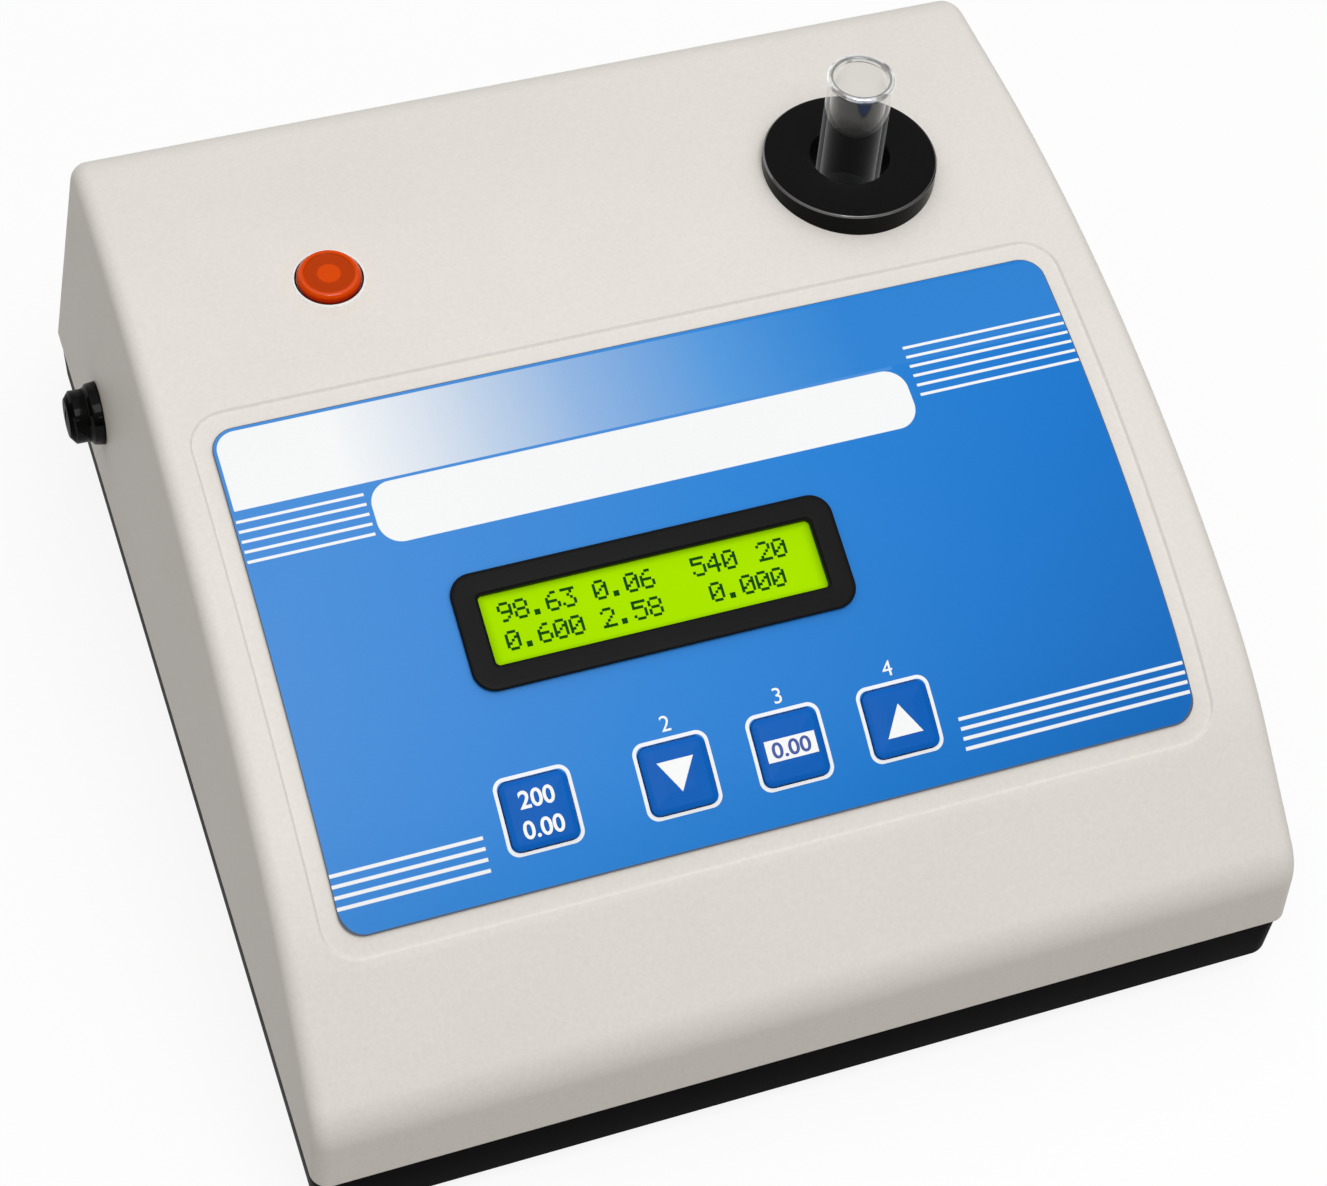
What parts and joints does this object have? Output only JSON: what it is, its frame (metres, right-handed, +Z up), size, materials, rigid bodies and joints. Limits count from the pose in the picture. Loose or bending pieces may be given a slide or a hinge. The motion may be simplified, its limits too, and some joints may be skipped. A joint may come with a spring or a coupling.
{
  "type": "bench colorimeter",
  "caption": "Bench colorimeter: a sloping plastic case with a label, keys and a display, an indicator, a fuse holder, and a collared well that holds a round glass tube.",
  "frame": {"origin": "on the table under the middle of the object's bounding box", "axes": "+X to the user's right, +Y to the rear wall, +Z up"},
  "size_m": [0.2603, 0.285, 0.1526],
  "materials": {
    "shell": "fine moulded texture",
    "tray": "moulded",
    "label": "printed film",
    "keys": "printed film",
    "bezel": "satin",
    "display_cell": "backlit",
    "indicator_lens": "translucent orange",
    "clear_glass": "polished",
    "gloss_black": "satin",
    "black_plastic": "moulded",
    "inner_plastic": "moulded",
    "circuit_board": "solder mask",
    "rubber": "matte",
    "steel": "plated",
    "copper": "enamelled winding wire",
    "aluminium": "milled"
  },
  "bodies": {
    "case": {"base_tray": "tray", "case_screw_front_left": "steel", "case_screw_front_right": "steel", "case_screw_rear_left": "steel", "case_screw_rear_right": "steel", "condenser_lens": "clear_glass", "cuvette_collar": "gloss_black", "cuvette_well": "black_plastic", "detector_board": "circuit_board", "filter_motor": "steel", "foot_front_left": "rubber", "foot_front_right": "rubber", "foot_rear_left": "rubber", "foot_rear_right": "rubber", "front_overlay": "label", "fuse_holder_body": "black_plastic", "fuse_holder_nut": "black_plastic", "inlet_screw_left": "steel", "inlet_screw_right": "steel", "key_board": "circuit_board", "lamp_body": "black_plastic", "lamp_lens": "indicator_lens", "lamp_nut": "black_plastic", "lamp_socket": "inner_plastic", "lcd_backlight": "inner_plastic", "lcd_bezel": "bezel", "lcd_board": "circuit_board", "lcd_cell": "display_cell", "main_board": "circuit_board", "mains_inlet": "black_plastic", "optical_bench": "aluminium", "photodiode": "steel", "source_lamp": "clear_glass", "switch_frame": "black_plastic", "tact_switch_1": "black_plastic", "tact_switch_2": "black_plastic", "tact_switch_3": "black_plastic", "tact_switch_4": "black_plastic", "top_cover": "shell", "transformer_coil": "copper", "transformer_core": "steel"},
    "key_set": {"key_set": "keys"},
    "key_down": {"key_down": "keys"},
    "key_zero": {"key_zero": "keys"},
    "key_up": {"key_up": "keys"},
    "cuvette": {"cuvette": "clear_glass"},
    "fuse": {"fuse": "clear_glass"},
    "fuse_cap": {"fuse_cap": "black_plastic"},
    "switch_rocker": {"switch_rocker": "gloss_black"},
    "filter_wheel": {"filter_wheel": "black_plastic", "filter_shaft": "steel", "filter_1": "clear_glass", "filter_2": "clear_glass", "filter_3": "clear_glass", "filter_4": "clear_glass", "filter_5": "clear_glass", "filter_6": "clear_glass"}
  },
  "joints": [
    {"name": "key_set_press", "type": "slide", "parent": "case", "child": "key_set", "axis": [0, 0.4995, -0.8663], "range_m": [0, 0.0008], "stiffness_N_per_m": 400, "springref_m": -0.0005},
    {"name": "key_down_press", "type": "slide", "parent": "case", "child": "key_down", "axis": [0, 0.4995, -0.8663], "range_m": [0, 0.0008], "stiffness_N_per_m": 400, "springref_m": -0.0005},
    {"name": "key_zero_press", "type": "slide", "parent": "case", "child": "key_zero", "axis": [0, 0.4995, -0.8663], "range_m": [0, 0.0008], "stiffness_N_per_m": 400, "springref_m": -0.0005},
    {"name": "key_up_press", "type": "slide", "parent": "case", "child": "key_up", "axis": [0, 0.4995, -0.8663], "range_m": [0, 0.0008], "stiffness_N_per_m": 400, "springref_m": -0.0005},
    {"name": "cuvette_lift", "type": "slide", "parent": "case", "child": "cuvette", "axis": [0, 0, 1], "range_m": [0, 0.076]},
    {"name": "fuse_pull", "type": "slide", "parent": "case", "child": "fuse", "axis": [-0.9987, 0, 0.0506], "range_m": [0, 0.028]},
    {"name": "fuse_cap_turn", "type": "hinge", "parent": "fuse", "child": "fuse_cap", "pos_m": [-0.12099, 0.0783, 0.0524], "axis": [-0.9987, 0, 0.0506], "range_deg": [-90, 0]},
    {"name": "switch_rock", "type": "hinge", "parent": "case", "child": "switch_rocker", "pos_m": [0.01777, 0.12662, 0.06211], "axis": [0, -0.3746, 0.9272], "range_deg": [-16, 0]},
    {"name": "filter_wheel_turn", "type": "hinge", "parent": "case", "child": "filter_wheel", "pos_m": [0.04627, 0.0459, 0.06], "axis": [1, 0, 0], "continuous": true}
  ]
}
